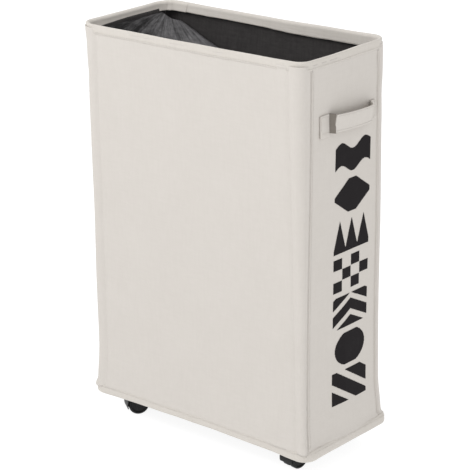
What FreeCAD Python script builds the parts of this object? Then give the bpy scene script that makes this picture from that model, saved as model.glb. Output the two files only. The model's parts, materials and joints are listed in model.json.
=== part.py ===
"""Slim collapsible laundry sorter on four swivel casters, as a parametric assembly.

Millimetres. Origin: centre of the footprint on the floor. X runs along the wide side, Y through
the depth, Z up. A sewn fabric tub on a rigid base board is held open by a wire in its rim and by
four corner rods that pull out upwards, so that it folds flat. A cover flap hangs from the left rim.
"""
import FreeCAD
import Part
import math
import os
import Sketcher

V = FreeCAD.Vector

DRIVING = [
    ("body_width", 400.0, "rim, outside, along X"),
    ("body_depth", 180.0, "rim, outside, along Y"),
    ("body_height", 550.0, "bottom of the base hem to the top of the rim"),
    ("floor_gap", 30.0, "floor to the bottom of the base hem"),
    ("wall_inset", 3.0, "outer wall face inside the rim's outer face"),
    ("wall_radius", 14.0, "outer corner radius of the walls in plan"),
    ("cloth", 1.2, "outer cloth"),
    ("stiffener", 1.2, "board between outer cloth and lining"),
    ("lining", 0.8, "lining cloth"),
    ("rim_skirt", 14.0, "height of the folded rim band"),
    ("rim_wire_radius", 2.0, "wire in the rim fold"),
    ("wire_gap", 0.2, "wire below the inside of the rim fold"),
    ("wire_inset", 4.1, "wire's centre line inside the rim's outer face"),
    ("hem_height", 14.0, "base hem band"),
    ("hem_proud", 5.0, "base hem outside the wall face"),
    ("board_bottom", 38.0, "underside of the base board above the floor"),
    ("board_thick", 5.0, "base board"),
    ("cover_thick", 1.0, "cloth under the base board"),
    ("wall_top_gap", 6.5, "wall top below the rim top"),
    ("rod_radius", 3.5, "corner support rod"),
    ("rod_length", 512.0, "corner support rod"),
    ("rod_x", 184.0, "rod axis from the middle"),
    ("rod_y", 74.0, "rod axis from the middle"),
    ("sleeve_bore", 4.0, "inner radius of a rod sleeve"),
    ("sleeve_cloth", 0.8, "sleeve wall"),
    ("sleeve_height", 490.0, "rod sleeve"),
    ("sleeve_foot", 2.0, "lower end of a sleeve above the tub's floor"),
    ("rod_foot", 0.3, "lower end of a rod above the tub's floor"),
    ("flap_start", 2.0, "hinge line to the fixed edge of the flap"),
    ("flap_length", 350.0, "cover flap, hinge to free edge"),
    ("flap_width", 160.0, "cover flap, along Y"),
    ("tongue_width", 132.0, "flap where it passes between the left rods"),
    ("tongue_length", 21.0, "hinge line to the full-width part of the flap"),
    ("flap_thick", 1.6, "two layers of lining cloth"),
    ("flap_slope", 23.0, "cover flap at rest below level, degrees"),
    ("hinge_x", -188.0, "flap hinge line"),
    ("hinge_z", 563.0, "flap hinge line above the floor"),
    ("binding_drop", 6.0, "lower edge of the flap's binding strip below the hinge line"),
    ("binding_height", 14.0, "binding strip"),
    ("handle_half", 60.0, "half the strap's span along Y"),
    ("handle_sewn", 18.0, "sewn flat end of the strap"),
    ("handle_ramp", 14.0, "rise of the strap from flat to full gap, along Y"),
    ("handle_bevel", 1.0, "outer face's bends beyond the inner face's, along Y"),
    ("handle_height", 27.0, "webbing width"),
    ("handle_z", 475.0, "lower edge of the strap above the floor"),
    ("handle_thick", 1.8, "webbing"),
    ("handle_gap", 9.0, "finger gap behind the strap"),
    ("print_width", 75.0, "printed block pattern along Y"),
    ("print_centre", 14.0, "middle of the print along Y"),
    ("print_low", 90.0, "bottom of the print above the floor"),
    ("print_pitch", 53.7, "one printed block and its gap"),
    ("print_gap", 7.0, "gap between printed blocks"),
    ("print_thick", 0.3, "ink film"),
    ("caster_x", 150.0, "swivel axis from the middle"),
    ("caster_y", 66.0, "swivel axis from the middle"),
    ("trail", 10.0, "swivel axis to axle"),
    ("wheel_radius", 15.0, "caster wheel"),
    ("wheel_width", 8.0, "one of the twin wheels"),
    ("wheel_offset", 3.4, "inner wheel face from the caster's middle plane"),
    ("axle_radius", 2.0, "axle of the twin wheels"),
    ("axle_length", 19.0, "axle of the twin wheels"),
    ("wheel_cap", 1.5, "closed outer end of a wheel's bore"),
    ("wheel_dish", 1.2, "depth of the dished outer face"),
    ("wheel_hub", 5.0, "radius of the flat hub"),
    ("wheel_edge", 1.5, "bevel between the outer face and the tread"),
    ("wheel_rim", 3.0, "width of the flat rim outside the dish"),
    ("bore_radius", 2.05, "running bore on axle and kingpin"),
    ("web_thick", 6.0, "web between the twin wheels"),
    ("hood_radius", 17.5, "outside of the caster hood"),
    ("hood_skin", 1.3, "hood shell"),
    ("hood_width", 24.0, "hood across the twin wheels"),
    ("boss_radius", 6.0, "swivel boss"),
    ("neck_half", 5.0, "half the neck under the boss, along the hood"),
    ("neck_lap", 2.0, "neck below the kingpin's end, and below the boss's top"),
    ("boss_top", 34.6, "top of the swivel boss above the floor"),
    ("boss_low", 30.8, "underside of the swivel boss above the floor"),
    ("pin_low", 20.0, "lower end of the kingpin above the floor"),
    ("hood_tip", 10.0, "lower end of the hood above the floor"),
    ("hood_front", 9.0, "hood ahead of the swivel axis"),
    ("hood_back", 3.0, "hood behind the axle"),
    ("plate_side", 38.0, "caster mounting plate"),
    ("plate_thick", 2.0, "caster mounting plate"),
    ("plate_corner", 4.0, "corner radius of the plate"),
    ("pin_head", 4.0, "radius of the kingpin's head"),
    ("pin_head_hole", 4.5, "hole in the bottom cloth for that head"),
    ("press_gap", 0.02, "axle's hole in the web larger than the axle"),
    ("screw_pitch", 28.0, "screw spacing, both ways"),
    ("screw_radius", 1.5, "screw shank"),
    ("screw_hole", 1.65, "hole for a screw shank"),
    ("screw_head", 3.0, "radius of a screw head"),
    ("screw_head_thick", 1.5, "screw head"),
    ("screw_bite", 4.5, "shank length in the base board"),
]

DERIVED = {
    "top": "Sheet.floor_gap + Sheet.body_height",
    "wall_x": "Sheet.body_width / 2 - Sheet.wall_inset",
    "wall_y": "Sheet.body_depth / 2 - Sheet.wall_inset",
    "plate_bottom": "Sheet.board_bottom - Sheet.cover_thick - Sheet.plate_thick",
    "floor_top": "Sheet.board_bottom + Sheet.board_thick",
    "rim_radius": "(Sheet.wall_radius + Sheet.wall_inset)",
}

CASTERS = {
    "front_left": (-1, -1, 56.0),
    "front_right": (1, -1, 82.0),
    "rear_left": (-1, 1, -35.0),
    "rear_right": (1, 1, -115.0),
}

PRINT_BLOCKS = 7

doc = FreeCAD.newDocument("laundry_sorter")
sheet = doc.addObject("Spreadsheet::Sheet", "Sheet")
parts = []


def fill_sheet():
    """One row per driving dimension: name, value, meaning."""
    for row, (alias, size, meaning) in enumerate(DRIVING, start=1):
        sheet.set(f"A{row}", alias)
        sheet.set(f"B{row}", str(size))
        sheet.set(f"C{row}", meaning)
        sheet.setAlias(f"B{row}", alias)
    doc.recompute()


def number(expression):
    """The present value of an expression on the sheet."""
    return float(sheet.evalExpression(str(expression)))


def bind(obj, **expressions):
    """Ties properties to the sheet; a double underscore stands for a dot."""
    for name, expression in expressions.items():
        obj.setExpression(name.replace("__", "."), str(expression))


def keep(obj, label):
    """Marks an object as one of the sub-parts that are written out."""
    obj.Label = label
    parts.append(obj)
    return obj


def new_body(label):
    body = doc.addObject("PartDesign::Body", label)
    return keep(body, label)


def sketch_on(body, role, offset=None):
    """A sketch on one of the body's own origin planes, moved along the plane's normal."""
    plane = next(f for f in body.Origin.OriginFeatures if f.Role == role)
    sketch = body.newObject("Sketcher::SketchObject", body.Name + "_sketch")
    sketch.AttachmentSupport = [(plane, "")]
    sketch.MapMode = "FlatFace"
    if offset is not None:
        sketch.setExpression("AttachmentOffset.Base.z", str(offset))
    return sketch


def dimension(sketch, kind, geometry, point, expression):
    """A driving distance from the sketch origin, tied to the sheet."""
    index = sketch.addConstraint(Sketcher.Constraint(kind, -1, 1, geometry, point, number(expression)))
    sketch.setExpression(f"Constraints[{index}]", str(expression))


def rectangle(sketch, x0, x1, y0, y1):
    """A closed rectangle between four expressions."""
    ax, bx, ay, by = (number(e) for e in (x0, x1, y0, y1))
    corners = [V(ax, ay, 0), V(bx, ay, 0), V(bx, by, 0), V(ax, by, 0)]
    ids = [sketch.addGeometry(Part.LineSegment(corners[i], corners[(i + 1) % 4])) for i in range(4)]
    for i in range(4):
        sketch.addConstraint(Sketcher.Constraint("Coincident", ids[i], 2, ids[(i + 1) % 4], 1))
    for i, way in enumerate(("Horizontal", "Vertical", "Horizontal", "Vertical")):
        sketch.addConstraint(Sketcher.Constraint(way, ids[i]))
    dimension(sketch, "DistanceX", ids[0], 1, x0)
    dimension(sketch, "DistanceY", ids[0], 1, y0)
    dimension(sketch, "DistanceX", ids[2], 1, x1)
    dimension(sketch, "DistanceY", ids[2], 1, y1)
    return ids


def rounded_loop(sketch, half_x, half_y, radius):
    """A rounded rectangle about the origin: four sides and four equal corner arcs."""
    a, b, r = number(half_x), number(half_y), number(radius)
    sides = [
        (V(-a + r, -b, 0), V(a - r, -b, 0)),
        (V(a, -b + r, 0), V(a, b - r, 0)),
        (V(a - r, b, 0), V(-a + r, b, 0)),
        (V(-a, b - r, 0), V(-a, -b + r, 0)),
    ]
    centres = [V(a - r, -b + r, 0), V(a - r, b - r, 0), V(-a + r, b - r, 0), V(-a + r, -b + r, 0)]
    lines = [sketch.addGeometry(Part.LineSegment(p, q)) for p, q in sides]
    arcs = []
    for i, centre in enumerate(centres):
        start = (i - 1) * math.pi / 2
        circle = Part.Circle(centre, V(0, 0, 1), r)
        arcs.append(sketch.addGeometry(Part.ArcOfCircle(circle, start, start + math.pi / 2)))
    for i in range(4):
        sketch.addConstraint(Sketcher.Constraint("Tangent", lines[i], 2, arcs[i], 1))
        sketch.addConstraint(Sketcher.Constraint("Tangent", arcs[i], 2, lines[(i + 1) % 4], 1))
    for i in range(1, 4):
        sketch.addConstraint(Sketcher.Constraint("Equal", arcs[0], arcs[i]))
    sketch.addConstraint(Sketcher.Constraint("Horizontal", lines[0]))
    sketch.addConstraint(Sketcher.Constraint("Vertical", lines[1]))
    index = sketch.addConstraint(Sketcher.Constraint("Radius", arcs[0], r))
    sketch.setExpression(f"Constraints[{index}]", str(radius))
    dimension(sketch, "DistanceY", lines[0], 1, f"-({half_y})")
    dimension(sketch, "DistanceX", lines[1], 1, half_x)
    dimension(sketch, "DistanceY", lines[2], 1, half_y)
    dimension(sketch, "DistanceX", lines[3], 1, f"-({half_x})")


def circle(sketch, x, y, radius):
    """A circle placed and sized by expressions."""
    index = sketch.addGeometry(Part.Circle(V(number(x), number(y), 0), V(0, 0, 1), number(radius)))
    size = sketch.addConstraint(Sketcher.Constraint("Radius", index, number(radius)))
    sketch.setExpression(f"Constraints[{size}]", str(radius))
    dimension(sketch, "DistanceX", index, 3, x)
    dimension(sketch, "DistanceY", index, 3, y)


def pad(body, sketch, length, symmetric=False):
    feature = body.newObject("PartDesign::Pad", body.Name + "_pad")
    feature.Profile = sketch
    feature.SideType = "Symmetric" if symmetric else "One side"
    bind(feature, Length=length)
    doc.recompute()
    return feature


def pocket(body, sketch, length, reverse):
    """A cut that must remove material."""
    before = body.Shape.Volume
    feature = body.newObject("PartDesign::Pocket", body.Name + "_pocket")
    feature.Profile = sketch
    feature.Reversed = reverse
    bind(feature, Length=length)
    doc.recompute()
    if body.Shape.Volume > before - 1e-3:
        raise RuntimeError(f"{body.Label}: a pocket cuts nothing")
    return feature


def ring(label, half_x, half_y, radius, thick, low, height):
    """A closed band with a rounded-rectangle plan."""
    body = new_body(label)
    sketch = sketch_on(body, "XY_Plane", low)
    rounded_loop(sketch, half_x, half_y, radius)
    rounded_loop(sketch, f"{half_x} - {thick}", f"{half_y} - {thick}", f"{radius} - {thick}")
    pad(body, sketch, height)
    return body


def slab(label, x0, x1, y0, y1, low, height):
    """A flat plate, drawn in plan and padded upwards."""
    body = new_body(label)
    sketch = sketch_on(body, "XY_Plane", low)
    rectangle(sketch, x0, x1, y0, y1)
    pad(body, sketch, height)
    return body


def wall_height():
    return f"{DERIVED['top']} - Sheet.wall_top_gap - ({DERIVED['floor_top']})"


def wide_panel(label, side):
    """Outer cloth of a wide face, turned round both corners up to the seams."""
    body = ring(label, DERIVED["wall_x"], DERIVED["wall_y"], "Sheet.wall_radius", "Sheet.cloth",
                DERIVED["floor_top"], wall_height())
    sketch = sketch_on(body, "XY_Plane", DERIVED["top"])
    reach = "Sheet.body_width"
    seam = f"({DERIVED['wall_y']} - Sheet.wall_radius)"
    far = "Sheet.body_depth"
    low, high = (f"-{seam}", far) if side < 0 else (f"-{far}", seam)
    rectangle(sketch, f"-{reach}", reach, low, high)
    pocket(body, sketch, "Sheet.body_height", False)
    return body


def narrow_panel(label, side):
    """Outer cloth of a narrow face, flat between the two corner seams."""
    outer = DERIVED["wall_x"]
    inner = f"{outer} - Sheet.cloth"
    x0, x1 = (inner, outer) if side > 0 else (f"-({outer})", f"-({inner})")
    half = f"{DERIVED['wall_y']} - Sheet.wall_radius"
    return slab(label, x0, x1, f"-({half})", half, DERIVED["floor_top"], wall_height())


def wide_board(label, side):
    """Flat stiffener behind a wide face, between the corner arcs."""
    outer = f"{DERIVED['wall_y']} - Sheet.cloth"
    inner = f"{outer} - Sheet.stiffener"
    y0, y1 = (inner, outer) if side > 0 else (f"-({outer})", f"-({inner})")
    half = f"{DERIVED['wall_x']} - Sheet.wall_radius"
    return slab(label, f"-({half})", half, y0, y1, DERIVED["floor_top"], wall_height())


def narrow_board(label, side):
    """Flat stiffener behind a narrow face, between the corner arcs."""
    outer = f"{DERIVED['wall_x']} - Sheet.cloth"
    inner = f"{outer} - Sheet.stiffener"
    x0, x1 = (inner, outer) if side > 0 else (f"-({outer})", f"-({inner})")
    half = f"{DERIVED['wall_y']} - Sheet.wall_radius"
    return slab(label, x0, x1, f"-({half})", half, DERIVED["floor_top"], wall_height())


def lining_inner(axis):
    """Half the clear width or depth inside the lining."""
    return f"{DERIVED[axis]} - Sheet.cloth - Sheet.stiffener - Sheet.lining"


def lining_parts():
    """Dark lining: one loop round the walls and one sheet on the floor."""
    skin = "Sheet.cloth - Sheet.stiffener"
    ring("lining_walls", f"{DERIVED['wall_x']} - {skin}", f"{DERIVED['wall_y']} - {skin}",
         f"Sheet.wall_radius - {skin}", "Sheet.lining", DERIVED["floor_top"], wall_height())
    body = new_body("lining_floor")
    sketch = sketch_on(body, "XY_Plane", DERIVED["floor_top"])
    rounded_loop(sketch, lining_inner("wall_x"), lining_inner("wall_y"),
                 f"Sheet.wall_radius - {skin} - Sheet.lining")
    pad(body, sketch, "Sheet.lining")


def rim_hem():
    """Folded band over the wall tops: a ring with a channel from below for walls and wire."""
    low = f"{DERIVED['top']} - Sheet.rim_skirt"
    outer_x = "Sheet.body_width / 2"
    outer_y = "Sheet.body_depth / 2"
    inner_x = f"{lining_inner('wall_x')} - Sheet.cloth"
    inset = f"({outer_x} - ({inner_x}))"
    radius = DERIVED["rim_radius"]
    body = ring("rim_hem", outer_x, outer_y, radius, inset, low, "Sheet.rim_skirt")
    sketch = sketch_on(body, "XY_Plane", low)
    rounded_loop(sketch, f"{outer_x} - Sheet.cloth", f"{outer_y} - Sheet.cloth",
                 f"{radius} - Sheet.cloth")
    rounded_loop(sketch, f"{inner_x} + Sheet.cloth", f"{outer_y} - {inset} + Sheet.cloth",
                 f"{radius} - {inset} + Sheet.cloth")
    pocket(body, sketch, "Sheet.rim_skirt - Sheet.cloth", True)


def rim_wire():
    """Steel wire loop inside the rim fold, above the wall tops."""
    body = new_body("rim_wire")
    height = f"{DERIVED['top']} - Sheet.cloth - Sheet.rim_wire_radius - Sheet.wire_gap"
    middle_x = "(Sheet.body_width / 2 - Sheet.wire_inset)"
    middle_y = "(Sheet.body_depth / 2 - Sheet.wire_inset)"
    spine = sketch_on(body, "XY_Plane", height)
    rounded_loop(spine, middle_x, middle_y, f"{DERIVED['rim_radius']} - Sheet.wire_inset")
    profile = sketch_on(body, "YZ_Plane", "0")
    circle(profile, f"-{middle_y}", height, "Sheet.rim_wire_radius")
    doc.recompute()
    pipe = body.newObject("PartDesign::AdditivePipe", "rim_wire_pipe")
    pipe.Profile = profile
    pipe.Spine = spine
    doc.recompute()


def base_parts():
    """Rigid base board, the cloth under it and the hem band round both."""
    hole_places = caster_points()
    for label, low, thick, pin_hole in (
        ("base_board", "Sheet.board_bottom", "Sheet.board_thick", None),
        ("bottom_cover", "Sheet.board_bottom - Sheet.cover_thick", "Sheet.cover_thick",
         "Sheet.pin_head_hole"),
    ):
        body = new_body(label)
        sketch = sketch_on(body, "XY_Plane", low)
        rounded_loop(sketch, DERIVED["wall_x"], DERIVED["wall_y"], "Sheet.wall_radius")
        pad(body, sketch, thick)
        holes = sketch_on(body, "XY_Plane", low)
        for x, y in hole_places:
            for i in (-1, 1):
                for j in (-1, 1):
                    circle(holes, f"{x} + {i} * Sheet.screw_pitch / 2",
                           f"{y} + {j} * Sheet.screw_pitch / 2", "Sheet.screw_hole")
            if pin_hole:
                circle(holes, x, y, pin_hole)
        pocket(body, holes, thick, True)
    ring("base_hem", f"{DERIVED['wall_x']} + Sheet.hem_proud", f"{DERIVED['wall_y']} + Sheet.hem_proud",
         "Sheet.wall_radius + Sheet.hem_proud", "Sheet.hem_proud", "Sheet.floor_gap",
         "Sheet.hem_height")


def caster_points():
    return [(f"{sx} * Sheet.caster_x", f"{sy} * Sheet.caster_y") for sx, sy, _ in CASTERS.values()]


def cylinder(name, radius, height, x="0", y="0", z="0"):
    """A vertical Part cylinder tied to the sheet."""
    obj = doc.addObject("Part::Cylinder", name)
    bind(obj, Radius=radius, Height=height, Placement__Base__x=x, Placement__Base__y=y,
         Placement__Base__z=z)
    return obj


def cut(name, base, tool):
    obj = doc.addObject("Part::Cut", name)
    obj.Base = base
    obj.Tool = tool
    return obj


def rods_and_sleeves():
    """A cloth sleeve in each corner and the steel rod that slides up out of it."""
    floor = f"{DERIVED['floor_top']} + Sheet.lining"
    for place, (sx, sy, _) in CASTERS.items():
        x, y = f"{sx} * Sheet.rod_x", f"{sy} * Sheet.rod_y"
        low = f"{floor} + Sheet.sleeve_foot"
        outer = cylinder(f"{place}_sleeve_outer", "Sheet.sleeve_bore + Sheet.sleeve_cloth",
                         "Sheet.sleeve_height", x, y, low)
        inner = cylinder(f"{place}_sleeve_bore", "Sheet.sleeve_bore", "Sheet.sleeve_height", x, y, low)
        keep(cut(f"{place}_sleeve", outer, inner), f"rod_sleeve_{place}")
        rod = cylinder(f"{place}_rod", "Sheet.rod_radius", "Sheet.rod_length", x, y,
                       f"{floor} + Sheet.rod_foot")
        keep(rod, f"support_rod_{place}")


def handle(label, side):
    """Webbing strap sewn flat at both ends, standing off the narrow face between them."""
    body = new_body(label)
    wall = number(DERIVED["wall_x"])
    half, sewn = number("Sheet.handle_half"), number("Sheet.handle_sewn")
    thick, gap = number("Sheet.handle_thick"), number("Sheet.handle_gap")
    ramp, bevel = number("Sheet.handle_ramp"), number("Sheet.handle_bevel")
    foot, crown = half - sewn, half - sewn - ramp
    inner = [(wall, -half), (wall, -foot), (wall + gap, -crown),
             (wall + gap, crown), (wall, foot), (wall, half)]
    outer = [(wall + thick, half), (wall + thick, foot + bevel), (wall + gap + thick, crown + bevel),
             (wall + gap + thick, -crown - bevel), (wall + thick, -foot - bevel), (wall + thick, -half)]
    sketch = sketch_on(body, "XY_Plane", "Sheet.handle_z")
    points = [V(side * x, y, 0) for x, y in inner + outer]
    count = len(points)
    ids = [sketch.addGeometry(Part.LineSegment(points[i], points[(i + 1) % count])) for i in range(count)]
    for i in range(count):
        sketch.addConstraint(Sketcher.Constraint("Coincident", ids[i], 2, ids[(i + 1) % count], 1))
    pad(body, sketch, "Sheet.handle_height")


def printed_blocks():
    """Seven blocks of ink on the right narrow face."""
    blocks = []
    for i in range(PRINT_BLOCKS):
        block = doc.addObject("Part::Box", f"ink_{i}")
        bind(block, Length="Sheet.print_thick", Width="Sheet.print_width",
             Height="Sheet.print_pitch - Sheet.print_gap",
             Placement__Base__x=DERIVED["wall_x"],
             Placement__Base__y="Sheet.print_centre - Sheet.print_width / 2",
             Placement__Base__z=f"Sheet.print_low + {i} * Sheet.print_pitch")
        blocks.append(block)
    group = doc.addObject("Part::Compound", "printed_blocks")
    group.Links = blocks
    keep(group, "printed_blocks")


def cover_flap():
    """Flap of doubled lining cloth, drawn level from its hinge line and tipped down to rest.

    A narrower tongue passes between the two left rods and joins the full-width flap to its seam.
    """
    body = new_body("cover_flap")
    for start, end, width in (("Sheet.flap_start", "Sheet.tongue_length + Sheet.cloth", "Sheet.tongue_width"),
                              ("Sheet.tongue_length", "Sheet.flap_length", "Sheet.flap_width")):
        sketch = sketch_on(body, "XY_Plane", "-Sheet.flap_thick / 2")
        rectangle(sketch, start, end, f"-{width} / 2", f"{width} / 2")
        pad(body, sketch, "Sheet.flap_thick")
    body.Placement = FreeCAD.Placement(V(0, 0, 0), FreeCAD.Rotation(V(0, 1, 0), number("Sheet.flap_slope")))
    bind(body, Placement__Base__x="Sheet.hinge_x", Placement__Base__z="Sheet.hinge_z")
    inner = f"({lining_inner('wall_x')} - Sheet.cloth)"
    slab("flap_binding", f"-{inner}", f"-{inner} + Sheet.cloth", "-Sheet.tongue_width / 2",
         "Sheet.tongue_width / 2", "Sheet.hinge_z - Sheet.binding_drop", "Sheet.binding_height")


def place_caster(obj, place):
    """Moves a piece drawn about the swivel axis to its corner, turned to its trail direction."""
    sx, sy, angle = CASTERS[place]
    obj.Placement = FreeCAD.Placement(V(0, 0, 0), FreeCAD.Rotation(V(0, 0, 1), angle))
    bind(obj, Placement__Base__x=f"{sx} * Sheet.caster_x", Placement__Base__y=f"{sy} * Sheet.caster_y")


def caster_plate(place):
    """Square steel plate under the base board, with a hole for the kingpin and four for screws."""
    body = new_body(f"caster_plate_{place}")
    sketch = sketch_on(body, "XY_Plane", DERIVED["plate_bottom"])
    half = "Sheet.plate_side / 2"
    rounded_loop(sketch, half, half, "Sheet.plate_corner")
    circle(sketch, "0", "0", "Sheet.bore_radius")
    for i in (-1, 1):
        for j in (-1, 1):
            circle(sketch, f"{i} * Sheet.screw_pitch / 2", f"{j} * Sheet.screw_pitch / 2",
                   "Sheet.screw_hole")
    pad(body, sketch, "Sheet.plate_thick")
    sx, sy, _ = CASTERS[place]
    bind(body, Placement__Base__x=f"{sx} * Sheet.caster_x", Placement__Base__y=f"{sy} * Sheet.caster_y")


def caster_screws(place):
    """Four pan-head screws through the plate into the base board."""
    solids = []
    for i in (-1, 1):
        for j in (-1, 1):
            x, y = f"{i} * Sheet.screw_pitch / 2", f"{j} * Sheet.screw_pitch / 2"
            stem = cylinder("screw_shank", "Sheet.screw_radius",
                            "Sheet.plate_thick + Sheet.cover_thick + Sheet.screw_bite", x, y,
                            DERIVED["plate_bottom"])
            head = cylinder("screw_head", "Sheet.screw_head", "Sheet.screw_head_thick", x, y,
                            f"{DERIVED['plate_bottom']} - Sheet.screw_head_thick")
            screw = doc.addObject("Part::Fuse", "screw")
            screw.Base = head
            screw.Tool = stem
            solids.append(screw)
    group = doc.addObject("Part::Compound", "screws")
    group.Links = solids
    sx, sy, _ = CASTERS[place]
    bind(group, Placement__Base__x=f"{sx} * Sheet.caster_x", Placement__Base__y=f"{sy} * Sheet.caster_y")
    keep(group, f"caster_screws_{place}")


def kingpin(place):
    """Riveted swivel pin: a head on top of the plate and a shank down into the hood's web."""
    top = "Sheet.board_bottom - Sheet.cover_thick"
    stem = cylinder("kingpin_shank", "Sheet.axle_radius", f"{top} - Sheet.pin_low", z="Sheet.pin_low")
    head = cylinder("kingpin_head", "Sheet.pin_head", "Sheet.cover_thick", z=top)
    pin = doc.addObject("Part::Fuse", "kingpin")
    pin.Base = stem
    pin.Tool = head
    place_caster(pin, place)
    keep(pin, f"kingpin_{place}")


def lying_cylinder(name, radius, width):
    """A cylinder about the axle line, centred on the caster's middle plane."""
    obj = doc.addObject("Part::Cylinder", name)
    obj.Placement = FreeCAD.Placement(V(0, 0, 0), FreeCAD.Rotation(V(1, 0, 0), 90))
    bind(obj, Radius=radius, Height=width, Placement__Base__x="Sheet.trail",
         Placement__Base__y=f"{width} / 2", Placement__Base__z="Sheet.wheel_radius")
    return obj


def block(name, x0, x1, width, z0, z1):
    obj = doc.addObject("Part::Box", name)
    bind(obj, Length=f"{x1} - ({x0})", Width=width, Height=f"{z1} - ({z0})", Placement__Base__x=x0,
         Placement__Base__y=f"-{width} / 2", Placement__Base__z=z0)
    return obj


def caster_hood(place):
    """Arched hood over the front and top of the wheels, with a web between them and a boss."""
    outer = lying_cylinder("hood_outer", "Sheet.hood_radius", "Sheet.hood_width")
    inner = lying_cylinder("hood_inner", "Sheet.hood_radius - Sheet.hood_skin", "Sheet.hood_width")
    shell = cut("hood_shell", outer, inner)
    front = block("hood_front", "-Sheet.hood_front", "Sheet.trail + Sheet.hood_back",
                  "Sheet.hood_width", "Sheet.hood_tip", "Sheet.boss_top")
    arch = doc.addObject("Part::Common", "hood_arch")
    arch.Base = shell
    arch.Tool = front
    disc = lying_cylinder("web_disc", "Sheet.hood_radius", "Sheet.web_thick")
    window = block("web_window", "-Sheet.hood_front", "Sheet.trail + Sheet.neck_half",
                   "Sheet.web_thick", "Sheet.hood_tip", "Sheet.boss_top")
    web = doc.addObject("Part::Common", "hood_web")
    web.Base = disc
    web.Tool = window
    neck = block("hood_neck", "-Sheet.neck_half", "Sheet.neck_half", "Sheet.web_thick",
                 "Sheet.pin_low - Sheet.neck_lap", "Sheet.boss_top - Sheet.neck_lap")
    boss = cylinder("hood_boss", "Sheet.boss_radius", "Sheet.boss_top - Sheet.boss_low",
                    z="Sheet.boss_low")
    whole = doc.addObject("Part::MultiFuse", "hood_whole")
    whole.Shapes = [arch, web, neck, boss]
    pin_hole = cylinder("hood_pin_hole", "Sheet.bore_radius",
                        "Sheet.boss_top - Sheet.pin_low + Sheet.neck_lap / 2",
                        z="Sheet.pin_low - Sheet.neck_lap / 2")
    axle_hole = lying_cylinder("hood_axle_hole", "Sheet.axle_radius + Sheet.press_gap", "Sheet.hood_width")
    hood = cut("hood", cut("hood_drilled", whole, pin_hole), axle_hole)
    place_caster(hood, place)
    keep(hood, f"caster_hood_{place}")


def caster_axle(place):
    """Plain steel axle, pressed in the web."""
    axle = lying_cylinder("axle", "Sheet.axle_radius", "Sheet.axle_length")
    carrier = doc.addObject("Part::Compound", "axle_in_place")
    carrier.Links = [axle]
    place_caster(carrier, place)
    keep(carrier, f"caster_axle_{place}")


def caster_wheel(place, hand, side):
    """One of the twin wheels, turned about the axle: blind bore, dished outer face, rounded tread."""
    body = new_body(f"caster_wheel_{place}_{hand}")
    sketch = sketch_on(body, "YZ_Plane", "0")
    near, far = number("Sheet.wheel_offset"), number("Sheet.wheel_offset + Sheet.wheel_width")
    bore, tread = number("Sheet.bore_radius"), number("Sheet.wheel_radius")
    end = far - number("Sheet.wheel_cap")
    dish, hub = number("Sheet.wheel_dish"), number("Sheet.wheel_hub")
    edge, rim = number("Sheet.wheel_edge"), number("Sheet.wheel_rim")
    outline = [(near, bore), (end, bore), (end, 0), (far, 0), (far, hub), (far - dish, hub + dish),
               (far - dish, tread - rim - dish), (far, tread - rim), (far, tread - edge),
               (far - edge, tread), (near + edge / 2, tread), (near, tread - edge / 2)]
    points = [V(side * y, z, 0) for y, z in outline]
    count = len(points)
    ids = [sketch.addGeometry(Part.LineSegment(points[i], points[(i + 1) % count])) for i in range(count)]
    for i in range(count):
        sketch.addConstraint(Sketcher.Constraint("Coincident", ids[i], 2, ids[(i + 1) % count], 1))
    turned = body.newObject("PartDesign::Revolution", "wheel_turned")
    turned.Profile = sketch
    turned.ReferenceAxis = (sketch, ["H_Axis"])
    turned.Angle = 360.0
    doc.recompute()
    sx, sy, angle = CASTERS[place]
    turn = FreeCAD.Rotation(V(0, 0, 1), angle)
    body.Placement = FreeCAD.Placement(V(0, 0, 0), turn)
    swing = math.radians(angle)
    bind(body, Placement__Base__x=f"{sx} * Sheet.caster_x + Sheet.trail * {math.cos(swing):.9f}",
         Placement__Base__y=f"{sy} * Sheet.caster_y + Sheet.trail * {math.sin(swing):.9f}",
         Placement__Base__z="Sheet.wheel_radius")


def build():
    fill_sheet()
    wide_panel("wide_panel_front", -1)
    wide_panel("wide_panel_rear", 1)
    narrow_panel("narrow_panel_right", 1)
    narrow_panel("narrow_panel_left", -1)
    wide_board("stiffener_front", -1)
    wide_board("stiffener_rear", 1)
    narrow_board("stiffener_right", 1)
    narrow_board("stiffener_left", -1)
    lining_parts()
    rim_hem()
    rim_wire()
    base_parts()
    rods_and_sleeves()
    handle("handle_strap_right", 1)
    handle("handle_strap_left", -1)
    printed_blocks()
    cover_flap()
    for place in CASTERS:
        caster_plate(place)
        caster_screws(place)
        kingpin(place)
        caster_hood(place)
        caster_axle(place)
        caster_wheel(place, "left", 1)
        caster_wheel(place, "right", -1)
    doc.recompute()


def check_and_write():
    """Stops on any failed object or bad shape, then writes one STEP file for each sub-part."""
    for obj in doc.Objects:
        if "Invalid" in obj.State or "Error" in obj.State:
            raise RuntimeError(f"{obj.Label} is {obj.State}")
    for obj in parts:
        if obj.Shape.isNull() or not obj.Shape.isValid() or not obj.Shape.Solids:
            raise RuntimeError(f"{obj.Label} has no valid solid")
    os.makedirs("parts", exist_ok=True)
    for obj in parts:
        obj.Shape.exportStep(f"parts/{obj.Label}.step")
    print(len(parts), "sub-parts written")


build()
check_and_write()
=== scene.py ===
"""Looks of the laundry sorter on wheels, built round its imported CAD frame. Metres, +Z up."""
import json
import math

import bpy
import numpy as np
from mathutils import Matrix, Vector, noise


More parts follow.
